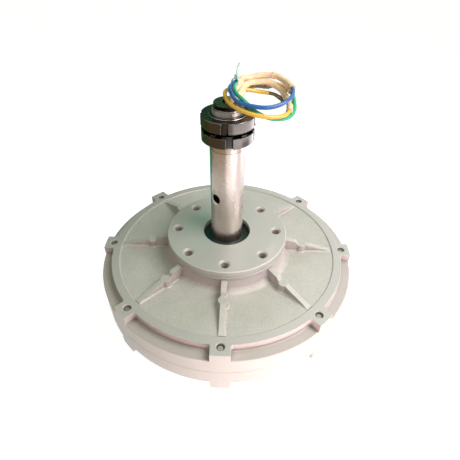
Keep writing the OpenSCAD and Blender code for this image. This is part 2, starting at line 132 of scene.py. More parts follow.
class Tree:
    """The node tree of a material or world, with short calls that return output sockets."""

    def __init__(self, owner, output="OutputMaterial"):
        self.owner = owner
        owner.use_nodes = True
        self.tree = owner.node_tree
        self.tree.nodes.clear()
        self.out = self.tree.nodes.new("ShaderNode" + output)

    def node(self, kind, inputs=None, **settings):
        """A new node. Its inputs, by name or number, take values or sockets."""
        made = self.tree.nodes.new("ShaderNode" + kind)
        for key, value in settings.items():
            setattr(made, key, value)
        for key, value in (inputs or {}).items():
            socket = made.inputs[key]
            if isinstance(value, bpy.types.NodeSocket):
                self.tree.links.new(value, socket)
            else:
                socket.default_value = value
        return made

    def math(self, operation, a, b=0.0, clamp=False):
        return self.node("Math", {0: a, 1: b}, operation=operation, use_clamp=clamp).outputs[0]

    def times(self, a, b):
        return self.math("MULTIPLY", a, b)

    def inverse(self, a):
        return self.math("SUBTRACT", 1.0, a)

    def largest(self, first, *others):
        for other in others:
            first = self.math("MAXIMUM", first, other)
        return first

    def position(self):
        return self.node("TexCoord").outputs["Object"]

    def split(self, vector):
        return self.node("SeparateXYZ", {0: vector}).outputs

    def noise(self, scale, detail=4, roughness=0.5, along=None):
        """Noise through space, or along one value only."""
        inputs = {"Scale": scale, "Detail": detail, "Roughness": roughness}
        if along is None:
            inputs["Vector"] = self.position()
            return self.node("TexNoise", inputs).outputs["Fac"]
        inputs["W"] = along
        return self.node("TexNoise", inputs, noise_dimensions="1D").outputs["Fac"]

    def cells(self, scale):
        """Distance from the middle of the nearest cell."""
        inputs = {"Scale": scale, "Vector": self.position()}
        return self.node("TexVoronoi", inputs, feature="F1").outputs["Distance"]

    def ramp(self, value, *stops):
        made = self.node("ValToRGB", {"Fac": value})
        for element, (place, grey) in zip(made.color_ramp.elements, stops):
            element.position = place
            element.color = (grey, grey, grey, 1)
        return made.outputs["Color"]

    def rise(self, value, start, end, most=1.0):
        """0 up to start, and most from end on."""
        return self.ramp(value, (start, 0.0), (end, most))

    def fall(self, value, start, end, most=1.0):
        """most up to start, and 0 from end on."""
        return self.ramp(value, (start, most), (end, 0.0))

    def mix(self, factor, a, b, blend="MIX"):
        """Colour a where factor is 0, and b where it is 1."""
        inputs = {0: factor, 6: rgba(a), 7: rgba(b)}
        return self.node("Mix", inputs, data_type="RGBA", blend_type=blend).outputs[2]

    def blend(self, factor, a, b):
        """Value a where factor is 0, and b where it is 1."""
        return self.node("Mix", {0: factor, 2: a, 3: b}).outputs[0]

    def bump(self, height, distance, strength=1.0, normal=None):
        inputs = {"Height": height, "Distance": distance, "Strength": strength}
        if normal is not None:
            inputs["Normal"] = normal
        return self.node("Bump", inputs).outputs[0]

    def bevel(self, radius, samples=4):
        return self.node("Bevel", {"Radius": radius}, samples=samples).outputs[0]

    def edge(self, radius):
        """1 on sharp edges, 0 away from them."""
        true = self.node("NewGeometry").outputs["Normal"]
        dot = self.node("VectorMath", {0: self.bevel(radius), 1: true}, operation="DOT_PRODUCT")
        bent = self.inverse(dot.outputs["Value"])
        return self.math("MULTIPLY", bent, EDGE_GAIN, clamp=True)

    def openness(self, distance):
        """1 in the open, lower in gaps and corners."""
        made = self.node("AmbientOcclusion", {"Distance": distance}, samples=AO_SAMPLES)
        return made.outputs["AO"]

    def above(self, value, limit, soft=STEP):
        """1 where value is over limit, with a soft step."""
        over = self.math("SUBTRACT", value, limit - soft)
        return self.math("DIVIDE", over, 2 * soft, clamp=True)

    def level(self, soft):
        """1 on faces that lie level, 0 on upright ones."""
        normal_z = self.split(self.node("NewGeometry").outputs["Normal"])[2]
        return self.above(self.math("ABSOLUTE", normal_z), LEVEL_OVER, soft)

    def radius_and_height(self):
        """Distance from the shaft's axis, and height above the lower hub face."""
        x, y, z = self.split(self.position())
        return self.math("SQRT", self.math("ADD", self.times(x, x), self.times(y, y))), z

    def seen(self):
        """1 for camera, glossy and transmission rays, 0 for light off matt surfaces."""
        ray = self.node("LightPath").outputs
        return self.largest(ray["Is Camera Ray"], ray["Is Glossy Ray"],
                            ray["Is Transmission Ray"])

    def surface(self, shader):
        self.tree.links.new(shader.outputs[0], self.out.inputs["Surface"])
        return self.owner

    def finish(self, **inputs):
        """A Principled surface; its inputs are spelt with underscores for spaces."""
        named = {key.replace("_", " "): value for key, value in inputs.items()}
        return self.surface(self.node("BsdfPrincipled", named))


def material_tree(name):
    return Tree(bpy.data.materials.new(name))


# ---- materials -----------------------------------------------------------

# Of these, the steep and step tints and the dark corner colour are painted light and shade.
CAST = {
    "dark": (0.48, 0.485, 0.435), "light": (0.55, 0.55, 0.50), "stain": (0.44, 0.445, 0.39),
    "pit": (0.30, 0.30, 0.25), "spark": (0.70, 0.69, 0.65), "steep": (1.12, 0.99, 1.08),
    "cut_dark": (0.485, 0.485, 0.45), "cut_light": (0.545, 0.545, 0.51),
    "cut_pit": (0.36, 0.355, 0.31), "step": (0.47, 0.42, 0.40), "edge": (0.74, 0.70, 0.68),
    "corner_shade": (0.25, 0.20, 0.165), "pore": (0.2, 0.2, 0.17), "seam": (0.16, 0.14, 0.11),
}
SEAM_HALF = 0.45 * mm


def casing_areas(t, radius, height):
    """Masks: the casing's turned faces, its outer wall, and the cast step beside the wall."""
    past_disc = t.above(radius, RING_R)
    wall = t.above(radius, CASE_R - 3 * HAIR)
    hub_face = t.above(height, HUB_RISE - HAIR)
    band = t.times(t.above(radius, BAND_R - 2 * HAIR), t.above(height, HUB_RISE - BAND_H))
    band = t.times(band, t.inverse(t.above(radius, FLANGE_R + 2 * mm)))
    ring = t.times(past_disc, t.above(height, LUG_RISE - HAIR))
    step = t.times(past_disc, t.inverse(t.above(height, LUG_RISE - 3 * HAIR)))
    return t.largest(hub_face, band, ring, wall), wall, t.times(step, t.inverse(wall))


def cast_skin(t, grit):
    """Colour of the cast skin: blotches, stains, pits and sparks, with steep faces tinted warmer
    as painted light from the side.
    """
    blotches = t.rise(t.noise(38, 5, 0.6), 0.3, 0.7)
    stains = t.rise(t.noise(9, 3, 0.55), 0.52, 0.75, most=0.35)
    pits = t.fall(grit, 0.32, 0.5, most=0.45)
    sparks = t.rise(grit, 0.52, 0.7, most=0.4)
    colour = t.mix(blotches, CAST["dark"], CAST["light"])
    colour = t.mix(stains, colour, CAST["stain"])
    colour = t.mix(pits, colour, CAST["pit"])
    colour = t.mix(sparks, colour, CAST["spark"])
    # painted light: steep faces tinted pinker, as side light would
    return t.mix(t.inverse(t.level(0.25)), colour, CAST["steep"], "MULTIPLY")


def cast_aluminium():
    """A casting with turned faces, worn edges, painted shade in its corners and on its cast step,
    and pores.
    """
    t = material_tree("cast_aluminium")
    radius, z = t.radius_and_height()
    height = t.math("ABSOLUTE", t.math("SUBTRACT", z, SEAM_Z))
    machined, wall, step = casing_areas(t, radius, height)
    grit = t.noise(620, 4, 0.7)
    lines = t.blend(wall, t.noise(1400, 2, 0.5, along=radius), t.noise(900, 3, 0.6, along=z))
    cut = t.mix(t.rise(lines, 0.35, 0.65), CAST["cut_dark"], CAST["cut_light"])
    cut = t.mix(t.fall(grit, 0.34, 0.5, most=0.25), cut, CAST["cut_pit"])

    worn = t.edge(1.0 * mm)
    # painted shade: darker brown where corners and gaps close in
    corner_shade = t.fall(t.openness(9 * mm), 0.25, 0.85)
    pores = t.times(t.fall(t.cells(150), 0.05, 0.09), t.rise(t.noise(60, 1), 0.6, 0.62))
    seam = t.inverse(t.above(height, SEAM_HALF, 0.1 * mm))
    colour = t.mix(machined, cast_skin(t, grit), cut)
    # The cast step and the corners get painted shade; worn edges, pores and the seam are the
    # casting's own.
    for mask, strength, coat in ((step, 0.55, "step"), (worn, 0.65, "edge"),
                                 (corner_shade, 0.75, "corner_shade"), (pores, 0.55, "pore"),
                                 (seam, 0.6, "seam")):
        colour = t.mix(t.times(mask, strength), colour, CAST[coat])

    grain = t.math("ADD", t.noise(1100, 3, 0.6), t.times(t.noise(160, 3, 0.5), 1.5))
    rough = t.blend(machined, 0.66, t.math("ADD", 0.4, t.times(lines, 0.15)))
    normal = t.bump(grain, 0.14 * mm, t.blend(machined, 0.7, 0.15), t.bevel(1.0 * mm))
    normal = t.bump(lines, 0.05 * mm, t.times(machined, 0.5), normal)
    return t.finish(Base_Color=colour, Metallic=0.4, Roughness=rough, Normal=normal)


SHAFT = {
    "thread": (0.17, 0.14, 0.12), "brown_band": (0.30, 0.24, 0.15), "line": (0.16, 0.12, 0.07),
    "black": (0.009, 0.009, 0.008), "end": (0.17, 0.18, 0.12),
}
BROWN_BAND_H = 11.5 * mm   # darker brown band below the nuts
LINE_H = 12.6 * mm  # foot of the dark line, a painted shadow, that ends the band
BROWN_BAND_SOFT = 0.3 * mm
# painted shade in the gaps and corners of steel parts
GAP_SHADE = (0.004, 0.004, 0.003)
SHADE = 0.7         # of the dark colour, for smudges


def shaft_marks(t, colour, radius, z, flat):
    """The shaft's dark thread, a darker brown band below the nuts ending in a dark line of
    painted shadow, its black shoulder and end, and its bore painted black as painted shade.
    """
    thread = t.times(t.above(z, NUT_TOP), t.above(radius, STUB_R - 5 * HAIR))
    # a darker brown band below the nuts
    over_line = t.above(z, NUT_FOOT - BROWN_BAND_H, BROWN_BAND_SOFT)
    in_brown_band = t.times(over_line, t.inverse(t.above(z, NUT_FOOT)))
    # painted shadow: a dark line at the foot of the band
    line = t.times(t.above(z, NUT_FOOT - LINE_H, BROWN_BAND_SOFT), t.inverse(over_line))
    pilot = t.above(z, THREAD_TOP)
    shoulder = t.times(t.above(z, NUT_TOP - HAIR), t.above(radius, STUB_R + 10 * HAIR))
    # painted shade: the inside of the cable bore is painted black
    bore = t.inverse(t.above(radius, BORE_R + 3 * HAIR))
    black = t.largest(pilot, t.times(shoulder, flat), bore)
    end_face = t.times(t.above(z, SHAFT_TOP - HAIR), flat)
    for mask, strength, coat in ((thread, 0.9, "thread"), (in_brown_band, 0.35, "brown_band"),
                                 (line, 0.8, "line"), (black, 1.0, "black"),
                                 (end_face, 1.0, "end")):
        colour = t.mix(t.times(mask, strength), colour, SHAFT[coat])
    return colour


def turned_steel(name, dark, light, edge, roughness, scale=1600, gap=0.0, marks=None):
    """Steel with fine turned lines and a colour of its own on edges, with painted shade in gaps
    and corners up to gap.

    marks adds to the colour what one piece alone has.
    """
    t = material_tree(name)
    radius, z = t.radius_and_height()
    flat = t.level(0.1)
    lines = t.blend(flat, t.noise(scale, 3, 0.6, along=z), t.noise(scale, 3, 0.6, along=radius))
    smudge = t.noise(45, 2, 0.5)
    colour = t.mix(t.rise(lines, 0.3, 0.7), dark, light)
    colour = t.mix(t.rise(smudge, 0.5, 0.8, most=0.16), colour, [SHADE * c for c in dark])
    if marks:
        colour = marks(t, colour, radius, z, flat)
    colour = t.mix(t.times(t.edge(0.7 * mm), 0.6), colour, edge)
    # painted shade: near black where gaps and corners close in
    if gap:
        colour = t.mix(t.fall(t.openness(gap), 0.5, 0.93), colour, GAP_SHADE)
    rough = t.math("ADD", roughness - 0.03, t.times(smudge, 0.08))
    normal = t.bump(lines, 0.03 * mm, 0.2, t.bevel(0.5 * mm, 6))
    return t.finish(Base_Color=colour, Metallic=1.0, Roughness=rough, Normal=normal)


def seal_rubber():
    t = material_tree("seal_rubber")
    colour = t.mix(t.noise(300, 3), (0.004, 0.010, 0.008), (0.010, 0.020, 0.016))
    normal = t.bump(t.noise(700, 2), 0.04 * mm, 0.4)
    return t.finish(Base_Color=colour, Roughness=0.3, Normal=normal)


def insulation(name, dark, light):
    t = material_tree(name)
    colour = t.mix(t.noise(220, 3, 0.6), dark, light)
    rough = t.math("ADD", 0.26, t.times(t.noise(90, 2), 0.16))
    normal = t.bump(t.noise(420, 3), 0.1 * mm, 0.25)
    return t.finish(Base_Color=colour, Roughness=rough, Normal=normal, Coat_Weight=0.25,
                    Coat_Roughness=0.2)


BRAID_YARNS = 16.0   # round the tube, each way
BRAID_PITCH = 900.0  # yarns to a metre of tube
BRAID_DARK = (0.66, 0.40, 0.18)
BRAID_LIGHT = (0.98, 0.78, 0.52)
BRAID_FADED = (1.0, 0.88, 0.68)


def braided_sleeving():
    """Crossed yarns along a tube, from its own coordinates: turns, and length in metres."""
    t = material_tree("braided_sleeving")
    turns, length, _ = t.split(t.node("TexCoord").outputs["UV"])
    strips = []
    for way in (1, -1):
        phase = t.math("ADD", t.times(turns, BRAID_YARNS * way), t.times(length, BRAID_PITCH))
        strips.append(t.math("ABSOLUTE", t.math("SINE", t.times(phase, math.pi))))
    weave = t.largest(*strips)
    colour = t.mix(t.rise(weave, 0.55, 0.95), BRAID_DARK, BRAID_LIGHT)
    colour = t.mix(t.rise(t.noise(130, 3), 0.45, 0.75, most=0.6), colour, BRAID_FADED)
    normal = t.bump(weave, 0.25 * mm, 0.6)
    return t.finish(Base_Color=colour, Roughness=0.55, Normal=normal, Sheen_Weight=0.2)


def bare_strands():
    t = material_tree("bare_strands")
    colour = t.mix(t.noise(500, 3), (0.06, 0.055, 0.028), (0.36, 0.33, 0.22))
    return t.finish(Base_Color=colour, Metallic=0.8, Roughness=0.42)


def tie_nylon():
    t = material_tree("tie_nylon")
    colour = t.mix(t.noise(200, 2), (0.68, 0.93, 0.87), (0.76, 0.97, 0.92))
    normal = t.bump(t.noise(900, 2), 0.03 * mm, 0.3)
    return t.finish(Base_Color=colour, Roughness=0.35, Normal=normal, Transmission_Weight=0.35)


MATERIALS = {
    "cast_aluminium": cast_aluminium(),
    "shaft_steel": turned_steel("shaft_steel", dark=(0.50, 0.44, 0.40), light=(0.63, 0.57, 0.53),
                                edge=(0.75, 0.70, 0.66), roughness=0.27, marks=shaft_marks),
    "bearing_steel": turned_steel("bearing_steel", dark=(0.42, 0.43, 0.43),
                                  light=(0.55, 0.56, 0.56), edge=(0.7, 0.7, 0.7),
                                  roughness=0.22),
    "black_steel": turned_steel("black_steel", dark=(0.065, 0.06, 0.05),
                                light=(0.125, 0.115, 0.11), edge=(0.4, 0.39, 0.39),
                                roughness=0.26, scale=1200, gap=8 * mm),
    "washer_steel": turned_steel("washer_steel", dark=(0.018, 0.018, 0.015),
                                 light=(0.035, 0.033, 0.03), edge=(0.3, 0.29, 0.28),
                                 roughness=0.35, scale=1200, gap=8 * mm),
    # the spacer's edges are painted dark brown as a painted shadow line
    "spacer_steel": turned_steel("spacer_steel", dark=(0.46, 0.40, 0.32),
                                 light=(0.58, 0.52, 0.44), edge=(0.10, 0.08, 0.05),
                                 roughness=0.36, scale=1200, gap=7 * mm),
    "bolt_steel": turned_steel("bolt_steel", dark=(0.30, 0.32, 0.26), light=(0.46, 0.47, 0.40),
                               edge=(0.55, 0.53, 0.46), roughness=0.45),
    "seal_rubber": seal_rubber(),
    "yellow_insulation": insulation("yellow_insulation", (0.72, 0.44, 0.035), (0.82, 0.56, 0.07)),
    "green_insulation": insulation("green_insulation", (0.015, 0.36, 0.17), (0.03, 0.46, 0.24)),
    "blue_insulation": insulation("blue_insulation", (0.003, 0.08, 0.32), (0.012, 0.14, 0.45)),
    "braided_sleeving": braided_sleeving(),
    "bare_strands": bare_strands(),
    "tie_nylon": tie_nylon(),
}


def paint_frame():
    """The material of its slot on each CAD piece, and one of their own on two of them."""
    for part in frame["record"]["subparts"]:
        materials = nodes[part["node"]].data.materials
        for index in range(len(materials)):
            materials[index] = MATERIALS[part["material_slot"]]
    nodes["tab_washer"].data.materials[0] = MATERIALS["washer_steel"]
    nodes["spacer_ring"].data.materials[0] = MATERIALS["spacer_steel"]


paint_frame()


# ---- mesh helpers --------------------------------------------------------

def add_piece(name, data, slot, body, smooth=False):
    """A new piece of the object that rides on a CAD body, painted as its slot says."""
    piece = bpy.data.objects.new(name, data)
    bpy.context.scene.collection.objects.link(piece)
    data.materials.append(MATERIALS[slot])
    if smooth:
        for face in data.polygons:
            face.use_smooth = True
    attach(piece, body)
    return piece


def mesh_from(name, points, faces):
    mesh = bpy.data.meshes.new(name)
    mesh.from_pydata([tuple(p) for p in points], [], faces)
    mesh.update()
    return mesh


def angle_at(step, steps):
    return 2 * math.pi * step / steps


def revolved(profile, sides, closed=True):
    """Points and faces of (radius, height) pairs turned about the vertical axis."""
    points = []
    for i in range(sides):
        turn = angle_at(i, sides)
        points += [(r * math.cos(turn), r * math.sin(turn), z) for r, z in profile]
    count = len(profile)
    faces = []
    for i in range(sides):
        j = (i + 1) % sides
        for k in range(count if closed else count - 1):
            n = (k + 1) % count
            faces.append((i * count + k, j * count + k, j * count + n, i * count + n))
    return points, faces


def join(parts):
    """One list of points and one of faces from several."""
    points, faces = [], []
    for more_points, more_faces in parts:
        start = len(points)
        points.extend(more_points)
        faces.extend(tuple(start + i for i in face) for face in more_faces)
    return points, faces


# ---- leads ---------------------------------------------------------------

LEAD_D = 5 * mm
BORE_RISE = (-18, -9, -2)  # millimetres over the shaft's end
RISER_R = 4.7 * mm         # from the bore's axis to a lead
COIL_X = 41.2 * mm
COIL_Y = -4.4 * mm
COIL_TURN = 2.3            # degrees

SLEEVE_D = 8.0 * mm
SLEEVE_START = 9 * mm      # along the lead
WOBBLE = 0.05              # this and the next four are shares of the sleeve's radius
RIPPLE = 0.03
FLARE = 0.16               # at the loose end
LAP = 0.13                 # where two lengths overlap
TIGHT = 0.22               # at the bore
WOBBLE_WAVE = 260          # radians to a metre
RIPPLE_WAVE = 610
FLARE_L = 5 * mm
LAP_HALF_L = 2.4 * mm
TIGHT_L = 34 * mm

# Number of wires, then the radius of their ring and of each wire in millimetres
STRAND_LAYERS = ((1, 0.0, 0.7), (6, 1.35, 0.62), (10, 1.95, 0.36))
STRAND_LAY = 13 * mm       # length of a full turn
LOOSE_FROM = 0.25          # share of the length after which the wires spread
LOOSE = 1.6


def coil_point(turn, radius, height):
    """A point round the coil: degrees from -Y towards +X, and millimetres."""
    angle = math.radians(turn + COIL_TURN)
    return Vector((COIL_X + radius * mm * math.sin(angle), COIL_Y - radius * mm * math.cos(angle),
                   SHAFT_TOP + height * mm))


def bore_point(turn, height):
    """A point in the cable bore, in the same way."""
    angle = math.radians(turn)
    return Vector((RISER_R * math.sin(angle), -RISER_R * math.cos(angle),
                   SHAFT_TOP + height * mm))


def route(bore_turn, rise, loop):
    """Centreline of a lead: up the bore, over its mouth, then round the coil.

    rise gives places in millimetres from the middle of the shaft's end, and loop coil_points.
    """
    points = [bore_point(bore_turn, height) for height in BORE_RISE]
    points += [Vector((x * mm, y * mm, SHAFT_TOP + z * mm)) for x, y, z in rise]
    points += [coil_point(*place) for place in loop]
    return points


YELLOW = route(33, [(6, -4, 4), (13, -2, 9), (17, 8, 11), (19, 20, 11)],
               [(204, 39, 11.3), (190, 40, 11.8), (174, 40, 13.5), (155, 39.5, 12.5),
                (134, 38.5, 8), (119, 37.5, 3), (104, 36.8, 0), (88, 36.8, -2), (72, 37.8, -3),
                (58, 39, -2.6), (45, 41, -1.8), (31, 42.5, -1.3), (12, 43, 0), (-4, 43, 1.5),
                (-21, 43, 3.3), (-40, 43, 5.2), (-58, 43.4, 6.5), (-72, 44, 8),
                (-84, 44.6, 10), (-97, 45, 11.5), (-112, 44.8, 10.5), (-128, 43, 8),
                (-145, 39, 5.5), (-164, 36.5, 3.6), (-183, 36.5, 1.4), (-202, 37, 0.6)])
GREEN = route(105, [(9, -1, 3), (15, 3, 7), (18.5, 12, 8), (18, 22, 7)],
              [(207, 44, 7), (190, 45, 7), (172, 46, 7.5), (155, 46.5, 8.5), (140, 46, 9),
               (125, 44.5, 9.5), (112, 43, 9), (100, 42, 6.5), (88, 42, 2), (76, 42.8, -3),
               (60, 42.2, -6.8), (44, 40.2, -7), (22, 38.7, -4.8), (5, 37.8, -1.6),
               (-9.5, 37.6, 3), (-22, 36.6, 7), (-34, 34.9, 11.6), (-47, 33.6, 14),
               (-62, 33, 15.4), (-80, 33, 17), (-97, 33.4, 18), (-115, 34.6, 17.4),
               (-130, 36.6, 16), (-144, 38.6, 14)])
BLUE = route(177, [(4, 3, 3), (9, 6, 8), (12, 14, 14), (15, 23, 16.5)],
             [(212, 44, 17), (196, 44, 18), (180, 44, 19.5), (165, 44, 21.2), (152, 43.5, 21.4),
              (138, 42.3, 20.2), (124, 41, 18.6), (110, 39.8, 18), (96, 39, 17), (80, 38.5, 15.5),
              (60, 38.8, 14), (46, 39.5, 14), (33, 40, 12.3), (14.5, 40, 10.7), (-2, 40, 10.5),
              (-22, 40, 11.3), (-40, 40, 11.6), (-55, 39.5, 12.8), (-68, 38.8, 15.5),
              (-84, 38.8, 16.8), (-102, 39.6, 16.6), (-120, 41, 16.4), (-137, 42.8, 16.8)])
YELLOW_BARE = [coil_point(*place) for place in
               ((-202, 37, 0.6), (-212, 37, 0.2), (-224, 36.5, -1), (-236, 36.2, -2.3),
                (-246, 36.4, -3.6))]
GREEN_BARE = [coil_point(*place) for place in
              ((-144, 38.6, 14), (-151, 38.2, 12.4), (-162, 37.2, 9.8), (-178, 36.6, 8.2),
               (-196, 36.6, 7.6), (-206, 36.8, 7.4))]


def handles(points, i):
    """Both Bezier handles of point i on a smooth line through the points."""
    before = points[max(i - 1, 0)]
    after = points[min(i + 1, len(points) - 1)]
    along = (after - before).normalized()
    return (points[i] - along * (points[i] - before).length / 3,
            points[i] + along * (after - points[i]).length / 3)


def sampled(points, steps=6):
    """Points along the same smooth line, with so many steps from one given point to the next."""
    line = []
    for i in range(len(points) - 1):
        p0, p3 = points[i], points[i + 1]
        p1 = handles(points, i)[1]
        p2 = handles(points, i + 1)[0]
        for s in range(steps):
            f = s / steps
            g = 1 - f
            line.append(p0 * g ** 3 + p1 * 3 * g * g * f + p2 * 3 * g * f * f + p3 * f ** 3)
    line.append(points[-1].copy())
    return line


def length_of(line):
    return sum((b - a).length for a, b in zip(line, line[1:]))


def add_cord(name, points, slot):
    curve = bpy.data.curves.new(name, "CURVE")
    curve.dimensions = "3D"
    curve.bevel_depth = LEAD_D / 2
    curve.bevel_resolution = 4
    curve.resolution_u = 6
    curve.use_fill_caps = True
    spline = curve.splines.new("BEZIER")
    spline.bezier_points.add(len(points) - 1)
    for i, knot in enumerate(spline.bezier_points):
        knot.co = points[i]
        knot.handle_left_type = knot.handle_right_type = "FREE"
        knot.handle_left, knot.handle_right = handles(points, i)
    return add_piece(name, curve, slot, "shaft")


def frames_along(line):
    """For each point of a line: it, its distance from the start, and two untwisted cross axes."""
    side = Vector((1, 0, 0))
    run = 0.0
    result = []
    for i, point in enumerate(line):
        if i:
            run += (point - line[i - 1]).length
        ahead = (line[min(i + 1, len(line) - 1)] - line[max(i - 1, 0)]).normalized()
        side = (side - ahead * side.dot(ahead)).normalized()
        result.append((point, run, side, ahead.cross(side)))
    return result


def add_tube(name, line, radius_at, slot, sides=20):
    """A closed tube along a line, with turns and length as its texture coordinates."""
    mesh = bpy.data.meshes.new(name)
    shape = bmesh.new()
    layer = shape.loops.layers.uv.new("along")
    axes = frames_along(line)
    rings = []
    for point, run, x, y in axes:
        ring = []
        for s in range(sides):
            a = angle_at(s, sides)
            r = radius_at(run, a)
            ring.append(shape.verts.new(point + x * r * math.cos(a) + y * r * math.sin(a)))
        rings.append(ring)
    for i in range(len(rings) - 1):
        for s in range(sides):
            n = (s + 1) % sides
            face = shape.faces.new((rings[i][s], rings[i][n], rings[i + 1][n], rings[i + 1][s]))
            corners = ((s, i), (s + 1, i), (s + 1, i + 1), (s, i + 1))
            for loop, (a, b) in zip(face.loops, corners):
                loop[layer].uv = (a / sides, axes[b][1])
    shape.faces.new(rings[0][::-1])
    shape.faces.new(rings[-1])
    shape.to_mesh(mesh)
    shape.free()
    return add_piece(name, mesh, slot, "shaft", smooth=True)


def between(line, start, end):
    """The points of a line that lie between two distances along it."""
    return [point for point, run, _, _ in frames_along(line)[:-1] if start <= run <= end]


def add_sleeve(name, points, until, seed, joint=0.0):
    """Braided sleeve from the bore to point number until, with a lap at distance joint."""
    end = length_of(sampled(points[: until + 1]))
    rng = random.Random(seed)
    phase = [rng.uniform(0, 6.28) for _ in range(3)]

    def radius(run, angle):
        run += SLEEVE_START
        wobble = WOBBLE * math.sin(run * WOBBLE_WAVE + phase[0]) * math.cos(angle + phase[1])
        ripple = RIPPLE * math.sin(run * RIPPLE_WAVE + phase[2])
        flare = FLARE * max(0.0, 1 - (end - run) / FLARE_L) ** 2
        lap = LAP if abs(run - joint) < LAP_HALF_L else 0.0
        tight = TIGHT * max(0.0, 1 - run / TIGHT_L)
        return SLEEVE_D / 2 * (1 + wobble + ripple + flare + lap - tight)

    line = between(sampled(points), SLEEVE_START, end)
    return add_tube(name, line, radius, "braided_sleeving")


def swept(path, radius, sides=6):
    """Points and faces of a thin round wire along a path, closed at both ends."""
    points, faces = [], []
    for point, _, x, y in frames_along(path):
        for s in range(sides):
            a = angle_at(s, sides)
            points.append(point + (x * math.cos(a) + y * math.sin(a)) * radius)
    for i in range(len(path) - 1):
        for s in range(sides):
            n = (s + 1) % sides
            faces.append((i * sides + s, i * sides + n, (i + 1) * sides + n, (i + 1) * sides + s))
    faces.append(tuple(range(sides))[::-1])
    faces.append(tuple(range((len(path) - 1) * sides, len(path) * sides)))
    return points, faces


def add_strands(name, points, seed, size=1.0):
    """The bared end of a lead: wires laid round a middle one, loose at their ends."""
    line = sampled(points, steps=14)
    total = length_of(line)
    axes = frames_along(line)
    rng = random.Random(seed)
    parts = []
    for count, radius, wire in STRAND_LAYERS:
        for k in range(count):
            spread = rng.uniform(0.2, 1.0)
            stop = rng.uniform(0.82, 1.0) if radius else 1.0
            start = rng.uniform(0, 0.4)
            path = []
            for point, run, x, y in axes:
                share = run / total
                if share > stop:
                    break
                a = 2 * math.pi * (k / count + run / STRAND_LAY) + start
                out = radius * mm * size * (1 + spread * max(0.0, share - LOOSE_FROM) * LOOSE)
                path.append(point + (x * math.cos(a) + y * math.sin(a)) * out)
            parts.append(swept(path, wire * mm * size))
    return add_piece(name, mesh_from(name, *join(parts)), "bare_strands", "shaft", smooth=True)


def add_leads(tie):
    yellow = add_cord("yellow_cord", YELLOW, "yellow_insulation")
    green = add_cord("green_cord", GREEN, "green_insulation")
    blue = add_cord("blue_cord", BLUE, "blue_insulation")
    yellow_sleeve = add_sleeve("yellow_sleeve", YELLOW, until=16, seed=3, joint=152 * mm)
    green_sleeve = add_sleeve("green_sleeve", GREEN, until=13, seed=5)
    blue_sleeve = add_sleeve("blue_sleeve", BLUE, until=15, seed=8, joint=104 * mm)
    yellow_end = add_strands("yellow_strands", YELLOW_BARE, seed=11)
    green_end = add_strands("green_strands", GREEN_BARE, seed=12, size=0.6)
    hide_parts("yellow_lead", "lead_coil")
    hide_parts("green_lead")
    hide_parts("blue_lead")
    for cord, points, extra in ((yellow, YELLOW, [yellow_sleeve, yellow_end, tie]),
                                (green, GREEN, [green_sleeve, green_end]),
                                (blue, BLUE, [blue_sleeve])):
        length_of(sampled(points))


# ---- cable tie -----------------------------------------------------------

TIE_TURN = -130                   # degrees round the coil
TIE_W = 3.2 * mm
TIE_T = 1.1 * mm
TIE_CORNER_R = 5.2 * mm
TIE_NEAR = 34.6 * mm              # inside of the loop: out from the coil's axis, and up
TIE_FAR = 47.6 * mm
TIE_LOW = 1.2 * mm
TIE_HIGH = 20.2 * mm

TIE_HEAD_OUT = 40.0 * mm
TIE_HEAD_UP = TIE_HIGH + TIE_T
TIE_HEAD_HALF = 2.7 * mm
TIE_HEAD_WIDTH = 1.35             # in widths of the strap, as is the tail's
TIE_HEAD = ((0.0, 0.86), (0.5, 1.0), (4.3, 1.0), (5.0, 0.84))  # millimetres up, share of size

TIE_TAIL_UP = 5.0 * mm
TIE_TAIL_L = 14.5 * mm
TIE_TAIL_BEND = 3.2 * mm
TIE_TAIL_WIDTH = 0.8
TIE_TAIL_STEPS = 21
TIE_TAPER_FROM = 0.75             # share of the tail's length
TIE_TAPER = 0.45                  # share of its width
TIE_RIDGE = 0.22 * mm


def tie_point(out, up, along=0.0):
    """A point by distance from the coil's axis, height over the shaft, and way along the coil."""
    angle = math.radians(TIE_TURN)
    outward = Vector((math.sin(angle), -math.cos(angle), 0))
    tangent = Vector((math.cos(angle), math.sin(angle), 0))
    centre = Vector((COIL_X, COIL_Y, SHAFT_TOP))
    return centre + outward * out + tangent * along + Vector((0, 0, up))


def strip(path):
    """Points and faces of a flat strip from (inner, outer, share of the width) triples."""
    points, faces = [], []
    for inner, outer, width in path:
        for (out, up), side in ((inner, -1), (inner, 1), (outer, 1), (outer, -1)):
            points.append(tie_point(out, up, side * width * TIE_W / 2))
    for i in range(len(path) - 1):
        for k in range(4):
            n = (k + 1) % 4
            faces.append((4 * i + k, 4 * i + n, 4 * i + 4 + n, 4 * i + 4 + k))
    faces.append((3, 2, 1, 0))
    last = 4 * (len(path) - 1)
    faces.append((last, last + 1, last + 2, last + 3))
    return points, faces


def tie_loop():
    """The strap round the leads, a closed loop with round corners."""
    near, far = TIE_NEAR + TIE_CORNER_R, TIE_FAR - TIE_CORNER_R
    low, high = TIE_LOW + TIE_CORNER_R, TIE_HIGH - TIE_CORNER_R
    path = []
    for out, up, first in ((far, high, 0), (near, high, 90), (near, low, 180), (far, low, 270)):
        for step in range(7):
            a = math.radians(first + 15 * step)
            inner, outer = ((out + r * math.cos(a), up + r * math.sin(a))
                            for r in (TIE_CORNER_R, TIE_CORNER_R + TIE_T))
            path.append((inner, outer, 1.0))
    return strip(path + path[:1])


